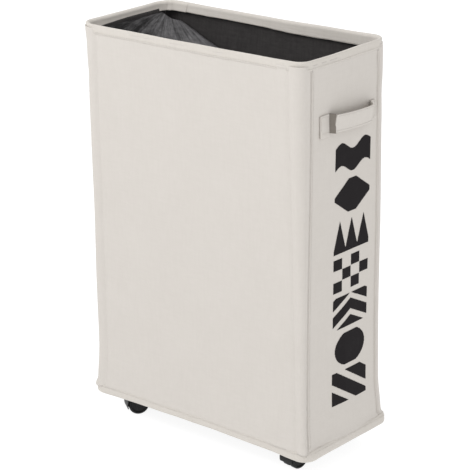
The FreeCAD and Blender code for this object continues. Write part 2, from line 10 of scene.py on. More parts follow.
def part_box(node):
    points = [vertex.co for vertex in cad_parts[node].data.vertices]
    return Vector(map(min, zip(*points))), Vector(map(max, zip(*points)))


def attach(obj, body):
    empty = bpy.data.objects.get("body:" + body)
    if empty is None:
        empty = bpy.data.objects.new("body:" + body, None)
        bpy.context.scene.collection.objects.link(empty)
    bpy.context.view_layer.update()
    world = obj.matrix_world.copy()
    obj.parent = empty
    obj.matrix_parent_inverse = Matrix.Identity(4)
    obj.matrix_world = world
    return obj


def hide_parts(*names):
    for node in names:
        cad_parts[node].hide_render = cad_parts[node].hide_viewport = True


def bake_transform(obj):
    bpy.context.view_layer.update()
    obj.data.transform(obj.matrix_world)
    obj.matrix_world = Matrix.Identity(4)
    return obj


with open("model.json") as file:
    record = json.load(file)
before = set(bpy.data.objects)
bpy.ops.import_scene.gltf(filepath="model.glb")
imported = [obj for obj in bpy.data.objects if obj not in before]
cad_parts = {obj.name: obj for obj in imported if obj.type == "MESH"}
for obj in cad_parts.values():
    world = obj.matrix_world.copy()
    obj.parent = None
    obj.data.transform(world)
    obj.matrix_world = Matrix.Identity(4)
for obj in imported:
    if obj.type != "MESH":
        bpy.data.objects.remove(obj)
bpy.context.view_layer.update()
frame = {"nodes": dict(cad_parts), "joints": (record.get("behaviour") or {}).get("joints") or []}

MM = 0.001
PLACES = ("front_left", "front_right", "rear_left", "rear_right")

# ---------------------------------------------------------------- places, from the frame
rim_low, rim_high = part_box("rim_hem")
hem_low, hem_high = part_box("base_hem")
wall_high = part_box("wide_panel_front")[1]
lining_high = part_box("lining_walls")[1]
floor_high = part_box("lining_floor")[1]
cover_low, cover_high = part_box("bottom_cover")
strap_low, strap_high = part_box("handle_strap_right")
print_low, print_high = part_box("printed_blocks")
hinge = next(j for j in frame["joints"] if j["name"] == "flap_hinge")
HINGE = Vector(hinge["pos_m"])

RIM_X, RIM_Y, RIM_Z = rim_high.x, rim_high.y, rim_high.z
HEM_X, HEM_Y = hem_high.x, hem_high.y
WALL_Z0, WALL_Z1 = hem_high.z - 4 * MM, rim_high.z - 5 * MM


# ---------------------------------------------------------------- small tools
def smooth_step(low, high, x):
    t = np.clip((np.asarray(x, float) - low) / (high - low), 0, 1)
    return t * t * (3 - 2 * t)


def bump_at(centre, width, x):
    """A rounded bump of height 1 at centre."""
    return np.exp(-((np.asarray(x, float) - centre) / width) ** 2)


def level_grid(high, inset, columns, rows, z):
    """A level grid of points over a footprint centred on the origin, inset from its edges."""
    xs = np.linspace(-1, 1, columns) * (high.x - inset)
    ys = np.linspace(-1, 1, rows) * (high.y - inset)
    gx, gy = np.meshgrid(xs, ys)
    return np.stack([gx, gy, np.full_like(gx, z)], -1)


def rough(points, scale, seed=0.0):
    """Smooth noise, about -1 to 1, at each point; scale is the size of a lump in metres."""
    flat = np.asarray(points, float).reshape(-1, 3) / scale + seed
    found = [noise.noise(Vector(p)) for p in flat]
    return np.array(found).reshape(np.asarray(points).shape[:-1])


def mesh_object(name, points, faces, material):
    mesh = bpy.data.meshes.new(name)
    mesh.from_pydata([tuple(p) for p in np.asarray(points, float).reshape(-1, 3)], [], faces)
    mesh.validate()
    mesh.polygons.foreach_set("use_smooth", [True] * len(mesh.polygons))
    obj = bpy.data.objects.new(name, mesh)
    bpy.context.scene.collection.objects.link(obj)
    mesh.materials.append(material)
    return obj


def grid_faces(rows, columns, closed=False, flip=False):
    faces = []
    for i in range(rows - 1):
        for j in range(columns if closed else columns - 1):
            k = (j + 1) % columns
            quad = (i * columns + j, i * columns + k, (i + 1) * columns + k, (i + 1) * columns + j)
            faces.append(quad[::-1] if flip else quad)
    return faces


def grid_object(name, points, material, closed=False, flip=False):
    rows, columns = points.shape[:2]
    return mesh_object(name, points, grid_faces(rows, columns, closed, flip), material)


def thicken(obj, thickness, offset=-1.0):
    """Gives a cloth sheet its thickness, with closed edges."""
    solid = obj.modifiers.new("thickness", "SOLIDIFY")
    solid.thickness = thickness
    solid.offset = offset
    solid.use_even_offset = True
    return obj


def finish_piece(obj, body, slot, *nodes):
    """Puts a piece on its body, in place of the CAD nodes named."""
    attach(obj, body)
    if nodes:
        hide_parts(*nodes)
    return obj


# ---------------------------------------------------------------- materials
def material(name, colour, roughness, metallic=0.0, specular=0.5, sheen=0.0):
    mat = bpy.data.materials.new(name)
    mat.use_nodes = True
    shader = mat.node_tree.nodes["Principled BSDF"]
    shader.inputs["Base Color"].default_value = (*colour, 1)
    shader.inputs["Roughness"].default_value = roughness
    shader.inputs["Metallic"].default_value = metallic
    shader.inputs["Specular IOR Level"].default_value = specular
    shader.inputs["Sheen Weight"].default_value = sheen
    return mat


def node(mat, kind, **inputs):
    made = mat.node_tree.nodes.new(kind)
    for key, value in inputs.items():
        made.inputs[key.replace("_", " ")].default_value = value
    return made


def link(mat, source, target):
    mat.node_tree.links.new(source, target)


def place(mat):
    return node(mat, "ShaderNodeTexCoord").outputs["Object"]


def noise_value(mat, scale, detail=3.0, roughness=0.55, stretch=None):
    texture = node(mat, "ShaderNodeTexNoise", Scale=scale, Detail=detail, Roughness=roughness)
    source = place(mat)
    if stretch is not None:
        mapping = node(mat, "ShaderNodeMapping")
        mapping.inputs["Scale"].default_value = stretch
        link(mat, source, mapping.inputs["Vector"])
        source = mapping.outputs["Vector"]
    link(mat, source, texture.inputs["Vector"])
    return texture.outputs["Fac"]


def waves(mat, scale, direction):
    texture = node(mat, "ShaderNodeTexWave", Scale=scale, Distortion=0.35, Detail=1.0)
    texture.wave_type = "BANDS"
    texture.bands_direction = direction
    texture.wave_profile = "SIN"
    link(mat, place(mat), texture.inputs["Vector"])
    return texture.outputs["Fac"]


def mathematics(mat, operation, a, b):
    made = node(mat, "ShaderNodeMath")
    made.operation = operation
    for socket, value in zip(made.inputs, (a, b)):
        if isinstance(value, (int, float)):
            socket.default_value = value
        else:
            link(mat, value, socket)
    return made.outputs[0]


def two_tones(mat, factor, low, high, light, dark):
    """Colour between two tones as factor goes from low to high."""
    ramp = node(mat, "ShaderNodeValToRGB")
    ramp.color_ramp.elements[0].position = low
    ramp.color_ramp.elements[1].position = high
    ramp.color_ramp.elements[0].color = (*dark, 1)
    ramp.color_ramp.elements[1].color = (*light, 1)
    link(mat, factor, ramp.inputs["Fac"])
    return ramp.outputs["Color"]


def set_bump(mat, height, strength, distance):
    made = node(mat, "ShaderNodeBump", Strength=strength, Distance=distance)
    link(mat, height, made.inputs["Height"])
    link(mat, made.outputs["Normal"], mat.node_tree.nodes["Principled BSDF"].inputs["Normal"])


def weave(mat, scale):
    """Over-and-under threads along all three axes, which any face of the tub cuts in two sets."""
    across = mathematics(mat, "ADD", waves(mat, scale, "X"), waves(mat, scale, "Y"))
    return mathematics(mat, "ADD", across, waves(mat, scale, "Z"))


SLUB_SCALE, SLUB_DRAWN_OUT = 260.0, 0.18
SLUB_SHARE, MOTTLE_SHARE, THREAD_SHARE = 0.32, 0.36, 0.25


def cloth(name, light, dark, roughness, sheen, thread_scale, bump):
    """Woven cloth: slubs and mottling in the colour, threads and slubs in the bump."""
    mat = material(name, light, roughness, specular=0.3, sheen=sheen)
    mottle = noise_value(mat, 14.0, 5.0, 0.6)
    slubs = noise_value(mat, SLUB_SCALE, 2.0, 0.5, (1.0, 1.0, SLUB_DRAWN_OUT))
    cross = noise_value(mat, SLUB_SCALE, 2.0, 0.5, (SLUB_DRAWN_OUT, SLUB_DRAWN_OUT, 1.0))
    mix = mathematics(mat, "ADD", mathematics(mat, "MULTIPLY", slubs, SLUB_SHARE),
                      mathematics(mat, "MULTIPLY", cross, SLUB_SHARE))
    mix = mathematics(mat, "ADD", mix, mathematics(mat, "MULTIPLY", mottle, MOTTLE_SHARE))
    shader = mat.node_tree.nodes["Principled BSDF"]
    link(mat, two_tones(mat, mix, 0.36, 0.62, light, dark), shader.inputs["Base Color"])
    threads = mathematics(mat, "MULTIPLY", weave(mat, thread_scale), THREAD_SHARE)
    height = mathematics(mat, "ADD", threads, mathematics(mat, "ADD", slubs, cross))
    set_bump(mat, height, bump, 0.0006)
    return mat


def flap_painted_shade_and_sheen(mat):
    """Painted shade that deepens towards the flap's sewn near corner, and painted sheen in pale streaks
    that fan out from its sewn rear corner. Distances are measured from that rear corner, along the tub and
    across it."""
    corner_x, corner_y = 0.196, 0.088
    streaks_per_radian, breaks_per_metre = 9.0, 14.0
    # The dark tint is painted shade and the pale tint is painted sheen.
    darkest, palest, shade_tint, sheen_tint = 0.13, 0.36, (0.24, 0.24, 0.24), (2.4, 2.4, 2.4)
    spot = node(mat, "ShaderNodeSeparateXYZ")
    link(mat, place(mat), spot.inputs[0])
    along = mathematics(mat, "ADD", spot.outputs["X"], corner_x)
    across = mathematics(mat, "SUBTRACT", corner_y, spot.outputs["Y"])
    fan = node(mat, "ShaderNodeCombineXYZ")
    turn = mathematics(mat, "ARCTAN2", across, along)
    link(mat, mathematics(mat, "MULTIPLY", turn, streaks_per_radian), fan.inputs["X"])
    away = mathematics(mat, "ADD", along, across)
    link(mat, mathematics(mat, "MULTIPLY", away, breaks_per_metre), fan.inputs["Y"])
    rays = node(mat, "ShaderNodeTexNoise", Scale=1.3, Detail=4.0, Roughness=0.65)
    link(mat, fan.outputs[0], rays.inputs["Vector"])
    slanted = mathematics(mat, "SUBTRACT", along, across)
    reach = mathematics(mat, "ADD", slanted, mathematics(mat, "MULTIPLY", rays.outputs["Fac"], 0.45))
    # Painted light: shade towards the near corner, sheen streaks towards the rear edge.
    painted_light = two_tones(mat, reach, darkest, palest, sheen_tint, shade_tint)
    shader = mat.node_tree.nodes["Principled BSDF"]
    woven = shader.inputs["Base Color"].links[0].from_socket
    mixed = node(mat, "ShaderNodeVectorMath")
    mixed.operation = "MULTIPLY"
    link(mat, woven, mixed.inputs[0])
    link(mat, painted_light, mixed.inputs[1])
    link(mat, mixed.outputs[0], shader.inputs["Base Color"])
    shader.inputs["Specular IOR Level"].default_value = 0.06


def plastic(name, light, dark, roughness):
    """Moulded black plastic with a fine texture and slightly rubbed high spots."""
    mat = material(name, dark, roughness, specular=0.25)
    scuffs = noise_value(mat, 90.0, 6.0, 0.65)
    shader = mat.node_tree.nodes["Principled BSDF"]
    link(mat, two_tones(mat, scuffs, 0.5, 0.75, light, dark), shader.inputs["Base Color"])
    worn = mathematics(mat, "ADD", mathematics(mat, "MULTIPLY", scuffs, 0.25), roughness - 0.1)
    link(mat, worn, shader.inputs["Roughness"])
    set_bump(mat, noise_value(mat, 1400.0, 2.0), 0.25, 0.0002)
    return mat


def metal(name, light, dark, roughness):
    """Plated or drawn steel with fine streaks."""
    mat = material(name, light, roughness, metallic=1.0)
    streaks = noise_value(mat, 300.0, 4.0, 0.6, (1.0, 1.0, 0.06))
    shader = mat.node_tree.nodes["Principled BSDF"]
    link(mat, two_tones(mat, streaks, 0.35, 0.65, light, dark), shader.inputs["Base Color"])
    link(mat, mathematics(mat, "ADD", mathematics(mat, "MULTIPLY", streaks, 0.3), roughness - 0.1),
         shader.inputs["Roughness"])
    set_bump(mat, streaks, 0.15, 0.0002)
    return mat


# Cloths give their light and dark tones, roughness, sheen, threads to a metre and depth of bump.
WOVEN, FELTED, TWISTED = 420.0, 300.0, 1500.0
OXFORD = cloth("oxford_off_white", (0.600, 0.566, 0.528), (0.578, 0.544, 0.506), 0.82, 0.1, WOVEN, 0.22)
BAND = cloth("oxford_band", (0.612, 0.577, 0.534), (0.580, 0.545, 0.500), 0.82, 0.1, WOVEN, 0.3)
# A darkened copy of the oxford cloth: painted shade where the strap leaves its patch.
PAINTED_SHADE_OXFORD = cloth("oxford_painted_shade", (0.235, 0.212, 0.188), (0.205, 0.183, 0.160), 0.9, 0.0, WOVEN, 0.3)
LINING = cloth("charcoal_lining", (0.042, 0.038, 0.037), (0.024, 0.021, 0.021), 0.7, 0.15, WOVEN, 0.5)
FLAP = cloth("charcoal_flap", (0.105, 0.103, 0.105), (0.066, 0.064, 0.066), 0.7, 0.0, WOVEN, 0.6)
# Painted shade and painted sheen streaks over the flap's charcoal cloth.
flap_painted_shade_and_sheen(FLAP)
BACKING = cloth("black_nonwoven", (0.030, 0.030, 0.030), (0.018, 0.018, 0.018), 0.9, 0.1, FELTED, 0.8)
THREAD = cloth("cream_thread", (0.62, 0.585, 0.545), (0.53, 0.50, 0.46), 0.7, 0.1, TWISTED, 0.3)
GREY_THREAD = cloth("grey_thread", (0.15, 0.145, 0.145), (0.10, 0.10, 0.10), 0.6, 0.2, TWISTED, 0.3)
INK = plastic("printed_ink", (0.009, 0.007, 0.008), (0.006, 0.004, 0.005), 0.8)
HOOD = plastic("caster_nylon", (0.012, 0.012, 0.012), (0.006, 0.006, 0.006), 0.45)
WHEEL = plastic("wheel_nylon", (0.016, 0.016, 0.016), (0.008, 0.008, 0.008), 0.5)
STEEL = metal("zinc_steel", (0.62, 0.62, 0.63), (0.45, 0.45, 0.46), 0.38)
ROD = metal("blackened_rod", (0.055, 0.055, 0.057), (0.035, 0.035, 0.037), 0.5)
BOARD = cloth("fibre_board", (0.33, 0.27, 0.19), (0.25, 0.20, 0.14), 0.9, 0.0, 200.0, 0.3)


# ---------------------------------------------------------------- the tub's outline in plan
# Where the rim band's ends overlap, as a share of the half width from the middle of the rear side, and
# the extra columns beside it that give the overlap a crisp edge.
RIM_JOIN = -0.874
JOIN_COLUMNS = (-0.008, -0.004, 0.0, 0.004, 0.008)


class Loop:
    """Points round the tub, from the middle of the front wide face, counter-clockwise from above.

    Each has a place on the inner rectangle (fx, fy, from -1 to 1) and an outward normal (nx, ny).
    """

    def __init__(self, wide=120, narrow=56, corner=12):
        rows = []
        half = np.linspace(0, 1, wide // 2 + 1)
        side = np.linspace(-1, 1, narrow + 1)
        arc = np.linspace(0, math.pi / 2, corner + 1)[1:]
        rows += [(f, -1, 0, -1) for f in half]
        rows += [(1, -1, math.sin(t), -math.cos(t)) for t in arc]
        rows += [(1, f, 1, 0) for f in side[1:]]
        rows += [(1, 1, math.cos(t), math.sin(t)) for t in arc]
        rear = np.concatenate([np.linspace(-1, 1, wide + 1)[:-1], RIM_JOIN + np.array(JOIN_COLUMNS)])
        rows += [(f, 1, 0, 1) for f in np.unique(rear)[::-1]]
        rows += [(-1, 1, -math.sin(t), math.cos(t)) for t in arc]
        rows += [(-1, f, -1, 0) for f in -side[1:]]
        rows += [(-1, -1, -math.cos(t), -math.sin(t)) for t in arc]
        rows += [(f - 1, -1, 0, -1) for f in half[1:-1]]
        self.fx, self.fy, self.nx, self.ny = np.array(rows, float).T
        self.count = len(rows)

    def pick(self, chosen):
        """The same loop cut down to the chosen points."""
        part = object.__new__(Loop)
        part.fx, part.fy, part.nx, part.ny = (v[chosen] for v in (self.fx, self.fy, self.nx, self.ny))
        part.count = len(part.fx)
        return part


def near_corner(loop):
    """1 at the front right corner, falling to 0 half way along both faces that meet there."""
    return np.clip(loop.fx, 0, 1) * np.clip(-loop.fy, 0, 1)


def corner_radius(loop, t):
    """Plan radius of the corners at height t, 0 at the hem and 1 at the rim.

    All of them round out under the rim. The front right one starts tighter and widens all the way up.
    """
    near = near_corner(loop) ** 0.5
    far = 13 * MM + 4 * MM * smooth_step(0.8, 1.0, t) + 6 * MM * smooth_step(0.9, 1.0, t)
    close = 7 * MM + 9 * MM * smooth_step(0.1, 1.0, t)
    return far + (close - far) * near


def drawn_in(loop, t):
    """How far the narrow faces stand in: the left one above its base, the right one near its base."""
    leaning = 1.0 * MM * smooth_step(0.3, 1.0, t)
    slack = 2.3 * MM * smooth_step(0.1, 0.5, t) * smooth_step(1.0, 0.95, t)
    left = (leaning + slack) * np.clip(-loop.fx, 0, 1) ** 2
    right = 3.5 * MM * near_corner(loop) * smooth_step(0.9, 0.1, t)
    return left + right


def height_share(z):
    """0 at the foot of the walls and 1 under the rim."""
    return (z - WALL_Z0) / (WALL_Z1 - WALL_Z0)


def wall_inset(loop, z):
    """How far the cloth stands inside the rim line: it is drawn in below the rim, more so towards the
    rear right corner, and flares out again over the hem."""
    t = height_share(z)
    pulled = smooth_step(1.0, 0.86, t) * 3.4 * MM + 0.4 * MM
    flare = smooth_step(0.12, 0.0, t) * 2.6 * MM + smooth_step(0.022, 0.0, t) * 2.4 * MM
    rear_right = np.clip(loop.fx, 0, 1) * np.clip(loop.fy, 0, 1)
    deep = rear_right * smooth_step(1.0, 0.15, t) * 3.0 * MM
    return pulled - flare + deep


def cloth_relief(loop, x, y, z):
    """Height of the outer cloth's soft shapes: hollow, corner columns, creases, slack and puckers."""
    t = height_share(z)
    wide = np.abs(loop.ny)
    narrow = np.abs(loop.nx)
    flat_x = np.clip(1 - np.abs(loop.fx), 0, 1)
    flat_y = np.clip(1 - np.abs(loop.fy), 0, 1)
    middle = np.sin(math.pi * np.clip(t, 0, 1)) ** 0.7
    hollow = -1.6 * MM * middle * (wide * np.sqrt(flat_x) + narrow * 1.3 * np.sqrt(flat_y))
    column_radius, crease_at = 17 * MM, 9 * MM
    from_corner = (1 - np.abs(loop.fx)) * (RIM_X - column_radius)
    crease = -1.3 * MM * bump_at(crease_at, 2.0 * MM, from_corner) * (wide > 0.99)
    column = 1.0 * MM * bump_at(0, 6 * MM, from_corner) * (wide > 0.5)
    spots = np.stack([x, y, z], -1)
    slack = 0.8 * MM * rough(spots * (1, 1, 0.5), 0.07, 3.1) + 0.16 * MM * rough(spots, 0.018, 8.2)
    tall = spots * (1, 1, 0.22)
    near_rim = smooth_step(0.90, 1.0, t)
    near_hem = smooth_step(0.07, 0.0, t)
    pucker = rough(tall, 0.010, 5.7) * (0.35 * MM * near_rim + 0.45 * MM * near_hem)
    slanting = np.stack([x + 0.5 * z, y + 0.5 * z, 2.0 * z], -1)
    low_folds = 1.3 * MM * rough(slanting, 0.022, 6.9) * near_corner(loop) ** 3 * smooth_step(0.22, 0.04, t)
    return hollow + crease + column + slack + pucker + low_folds


def wall_points(loop, z, proud=0.0):
    """Points of the outer cloth, rows by height and columns round the loop."""
    z = np.asarray(z, float)[:, None] * np.ones(loop.count)
    inset = wall_inset(loop, z)
    t = height_share(z)
    radius = corner_radius(loop, t)
    x = loop.fx * (RIM_X - inset - drawn_in(loop, t) - radius) + loop.nx * radius
    y = loop.fy * (RIM_Y - inset - radius) + loop.ny * radius
    rise = cloth_relief(loop, x, y, z) + proud
    return np.stack([x + loop.nx * rise, y + loop.ny * rise, z], -1)


LOOP = Loop()
OUTWARD = np.stack([LOOP.nx, LOOP.ny, np.zeros(LOOP.count)], -1)


# ---------------------------------------------------------------- stitches
def stitch_row(name, line, normals, material_, body, slot, pitch=4.2 * MM, length=3.0 * MM,
               radius=0.32 * MM):
    """A row of separate raised stitches along a line of points with outward normals.

    Each is a short tube, given as (share of its length, share of its radius) rings.
    """
    line, normals = np.asarray(line, float), np.asarray(normals, float)
    steps = np.linalg.norm(np.diff(line, axis=0), axis=1)
    along = np.concatenate([[0], np.cumsum(steps)])
    starts = np.arange(pitch / 2, along[-1] - length, pitch)
    points, faces = [], []
    taper = ((0.0, 0.35), (0.2, 0.9), (0.5, 1.0), (0.8, 0.9), (1.0, 0.35))
    rings, sides = len(taper), 6
    ahead_by = 0.2 * MM
    for start in starts:
        base = len(points)
        for share, width in taper:
            here = start + share * length
            spot = np.array([np.interp(here, along, line[:, k]) for k in range(3)])
            normal = np.array([np.interp(here, along, normals[:, k]) for k in range(3)])
            ahead = np.array([np.interp(here + ahead_by, along, line[:, k]) for k in range(3)]) - spot
            ahead /= max(np.linalg.norm(ahead), 1e-12)
            normal /= max(np.linalg.norm(normal), 1e-12)
            side = np.cross(ahead, normal)
            lift = radius * (0.15 + 0.5 * math.sin(math.pi * share))
            for k in range(sides):
                angle = 2 * math.pi * k / sides
                points.append(spot + normal * (lift + math.sin(angle) * radius * width * 0.8)
                              + side * math.cos(angle) * radius * width)
        for i in range(rings - 1):
            for k in range(sides):
                beside = (k + 1) % sides
                faces.append((base + i * sides + k, base + i * sides + beside,
                              base + (i + 1) * sides + beside, base + (i + 1) * sides + k))
        faces.append(tuple(base + k for k in range(sides))[::-1])
        faces.append(tuple(base + (rings - 1) * sides + k for k in range(sides)))
    obj = mesh_object(name, np.array(points), faces, material_)
    return finish_piece(obj, body, slot)


# ---------------------------------------------------------------- outer cloth
SEAM_STITCH_SHARE, SEAM_PIPING_SHARE = 0.93, 0.970


def seam_line(chosen, share, foot, head, count, proud=0.0):
    """Points up a narrow face at a share of its half width, from foot above its base to head below
    its top."""
    column = LOOP.pick(chosen[:1])
    column.fy = np.array([share])
    heights = np.linspace(WALL_Z0 + foot, WALL_Z1 - head, count)
    return wall_points(column, heights, proud=proud)[:, 0]


def outer_panels():
    """Two wide panels that turn round the corner columns, and two flat narrow panels between seams."""
    foot, head = 0.10, 0.50
    # Rows are closer together below the foot and above the head, where the cloth puckers.
    heights = np.concatenate([np.linspace(WALL_Z0, foot, 22), np.linspace(foot, head, 82)[1:],
                              np.linspace(head, WALL_Z1, 34)[1:]])
    on_narrow = np.abs(LOOP.nx) > 0.999
    order = np.arange(LOOP.count)
    right = order[on_narrow & (LOOP.nx > 0)]
    left = order[on_narrow & (LOOP.nx < 0)]
    rear = np.arange(right[-1], left[0] + 1)
    front = np.concatenate([np.arange(left[-1], LOOP.count), np.arange(0, right[0] + 1)])
    for name, chosen, narrow in (("front", front, False), ("rear", rear, False),
                                 ("right", right, True), ("left", left, True)):
        part = LOOP.pick(chosen)
        points = wall_points(part, heights)
        if narrow:
            inward = 0.5 * MM * (1 - smooth_step(0, 0.03, 1 - np.abs(part.fy)))
            points[..., 0] -= part.nx * inward
        else:
            ends = np.minimum(np.arange(part.count), np.arange(part.count)[::-1])
            tuck = 0.7 * MM * (ends == 0)
            points[..., 0] -= part.nx * tuck
            points[..., 1] -= part.ny * tuck
        kind = "narrow" if narrow else "wide"
        obj = grid_object(f"{kind}_cloth_{name}", points, OXFORD)
        thicken(obj, 1.1 * MM)
        finish_piece(obj, "tub", "oxford_cloth", f"{kind}_panel_{name}")
    for name, chosen in (("right", right), ("left", left)):
        for where, end in (("front", -1), ("rear", 1)):
            line = seam_line(chosen, end * SEAM_STITCH_SHARE, 6 * MM, 10 * MM, 120)
            normals = np.tile([LOOP.nx[chosen[0]], 0, 0], (len(line), 1))
            stitch_row(f"seam_stitches_{name}_{where}", line, normals, THREAD, "tub", "oxford_cloth")
            piping(f"seam_piping_{name}_{where}", chosen, end)


def piping(name, chosen, end):
    """A thin corded ridge down a corner seam."""
    radius, sides = 1.1 * MM, 8
    spine = seam_line(chosen, end * SEAM_PIPING_SHARE, 4 * MM, 8 * MM, 130, proud=0.2 * MM)
    rows = []
    for angle in np.linspace(0, 2 * math.pi, sides, endpoint=False):
        rows.append(spine + np.array([math.cos(angle), math.sin(angle), 0]) * radius)
    obj = grid_object(name, np.array(rows + rows[:1]), OXFORD)
    finish_piece(obj, "tub", "oxford_cloth")


def boards():
    """Thin fibre boards behind the four flat faces, bowed as the cloth over them is."""
    heights = np.linspace(WALL_Z0 + 1 * MM, WALL_Z1 - 1 * MM, 60)
    for name, flat in (("front", LOOP.ny < -0.999), ("rear", LOOP.ny > 0.999),
                       ("right", LOOP.nx > 0.999), ("left", LOOP.nx < -0.999)):
        order = np.arange(LOOP.count)[flat]
        if name == "front":
            order = order[np.argsort(LOOP.fx[order], kind="stable")]
        points = wall_points(LOOP.pick(order), heights, proud=-1.3 * MM)
        obj = grid_object(f"board_{name}", points, BOARD)
        thicken(obj, 0.8 * MM)
        finish_piece(obj, "tub", "stiffener_board", f"stiffener_{name}")


# ---------------------------------------------------------------- rim band
def rim_points(profile, plain=False):
    """Sweeps (inward distance, height) pairs round the rim.

    The band gets slack, gathered corners and, on its inner side, the step where its ends overlap, a set
    back face behind the flap's binding and a deeper rear edge. A plain sweep has no slack or gathers.
    """
    softness = 0.0 if plain else 1.0
    crest, overlap_step, set_back, rear_sag = 4 * MM, 1.8 * MM, 0.3 * MM, 3.4 * MM
    rows = []
    for k, (inward, height) in enumerate(profile):
        radius = corner_radius(LOOP, 1.0) + 2 * MM - inward
        x = LOOP.fx * (RIM_X - inward - drawn_in(LOOP, 1.0) - radius) + LOOP.nx * radius
        y = LOOP.fy * (RIM_Y - inward - radius) + LOOP.ny * radius
        spots = np.stack([x, y, np.full_like(x, height)], -1)
        corner = np.abs(LOOP.nx * LOOP.ny) * 2
        slack = 0.5 * MM * rough(spots, 0.03, 1.3) + 0.2 * MM * rough(spots, 0.009, 4.4)
        slack = slack * softness
        rear_left = (LOOP.fx < -0.5) & (LOOP.fy > 0.5)
        gather = corner * (0.7 + 1.9 * rear_left) * MM * rough(spots * (1, 1, 0.1), 0.0058, 2.2)
        gather = np.maximum(gather, -0.5 * MM) * softness
        inner = inward > crest
        side = -1.0 if inner else 1.0
        join = 0.0
        if inner:
            overlap = RIM_JOIN * (RIM_X - inward - radius)
            join = overlap_step * (LOOP.fy > 0.99) * smooth_step(overlap + 0.5 * MM, overlap - 0.5 * MM, x)
            below = smooth_step(RIM_Z - 4 * MM, RIM_Z - 8 * MM, height)
            join = join - set_back * below * np.clip(-LOOP.nx, 0, 1) ** 3
        x = x + LOOP.nx * (slack + gather) * side - LOOP.nx * join
        y = y + LOOP.ny * (slack + gather) * side - LOOP.ny * join
        lift = 0.8 * MM * rough(spots * (1, 1, 0), 0.07, 9.5) + 1.6 * MM * np.clip(LOOP.fx, 0, 1) ** 2
        edge = 0.5 * MM * rough(spots * (1, 1, 0), 0.02, 6.1) if k in (0, len(profile) - 1) else 0.0
        if inner:
            deeper = np.clip((RIM_Z - 6 * MM - height) / (7 * MM), 0, 1) * np.clip(LOOP.ny, 0, 1)
            edge = edge - rear_sag * deeper * smooth_step(-0.04, 0.08, x)
        rows.append(np.stack([x, y, height + lift + edge], -1))
    return np.array(rows)


def rim_profile():
    """From the outer lower edge, up to a tight crest, over the wire and down the inner band."""
    top, low_out, low_in = RIM_Z - 0.4 * MM, RIM_Z - 13 * MM, rim_low.z + 1.0 * MM
    crest, shoulder, drop = 2.0 * MM, 5.2 * MM, 5.0 * MM
    outer_face, inner_lean = 0.3 * MM, 2.2 * MM
    profile = [(outer_face, height) for height in np.linspace(low_out, top - crest - 1 * MM, 5)]
    for angle in np.linspace(0, math.pi / 2, 6):
        profile.append((crest * (1 - math.cos(angle)), top - crest + math.sin(angle) * crest))
    for angle in np.linspace(0, math.pi / 2, 8)[1:]:
        profile.append((crest + shoulder * math.sin(angle), top - drop + drop * math.cos(angle)))
    inner = crest + shoulder
    for share in np.linspace(0, 1, 8)[1:]:
        profile.append((inner + inner_lean * share, top - drop + (low_in - top + drop) * share))
    return profile


def rim_wire():
    """Steel wire in the rim's fold, following the cloth's corners."""
    inward, below, radius, sides = 3.7 * MM, 4.2 * MM, 1.4 * MM, 10
    path = rim_points([(inward, RIM_Z - below)], plain=True)[0]
    rows = []
    for angle in np.linspace(0, 2 * math.pi, sides, endpoint=False):
        out, up = radius * math.cos(angle), radius * math.sin(angle)
        rows.append(path + np.stack([LOOP.nx * out, LOOP.ny * out, np.full(LOOP.count, up)], -1))
    rows.append(rows[0])
    obj = grid_object("rim_wire_loop", np.array(rows), ROD, closed=True)
    finish_piece(obj, "tub", "spring_steel", "rim_wire")


def rim_band():
    """Folded band over the wire, with a row of stitches on each side of it.

    The inner row goes under the flap's binding on the hinge side.
    """
    profile = rim_profile()
    obj = grid_object("rim_band", rim_points(profile), BAND, closed=True)
    thicken(obj, 1.0 * MM)
    finish_piece(obj, "tub", "oxford_cloth", "rim_hem")
    rows = (("rim_stitches_outer", profile[1], 1.0, 0.35), ("rim_stitches_inner", profile[-2], -1.0, 0.2))
    for name, spot, side, proud in rows:
        line = rim_points([spot])[0]
        normals = OUTWARD * side
        buried = 1.8 * (side < 0) * np.clip(-LOOP.nx, 0, 1)[:, None]
        line = line + normals * (proud - buried) * MM
        line, normals = np.vstack([line, line[:1]]), np.vstack([normals, normals[:1]])
        stitch_row(name, line, normals, THREAD, "tub", "oxford_cloth")


# ---------------------------------------------------------------- base band and underside
def base_points(profile):
    """Sweeps (distance proud of the hem line, height) pairs round the base, arched under the wide faces."""
    rows = []
    for proud, height in profile:
        radius = max(19 * MM + proud, 6 * MM)
        x = LOOP.fx * (HEM_X + proud - radius) + LOOP.nx * radius
        y = LOOP.fy * (HEM_Y + proud - radius) + LOOP.ny * radius
        spots = np.stack([x, y, np.full_like(x, height)], -1)
        slack = 0.45 * MM * rough(spots * (1, 1, 0.4), 0.028, 7.7) + 0.15 * MM * rough(spots, 0.008, 2.9)
        wave = 0.5 * MM * rough(spots * (1, 1, 0), 0.05, 4.9) - 1.5 * MM * near_corner(LOOP) ** 2
        arch = 2.5 * MM * (1 - LOOP.fx ** 2) * np.abs(LOOP.ny)
        wave = wave + arch * (0.4 + 0.6 * smooth_step(hem_high.z, hem_low.z, height))
        rows.append(np.stack([x + LOOP.nx * slack, y + LOOP.ny * slack, height + wave], -1))
    return np.array(rows)


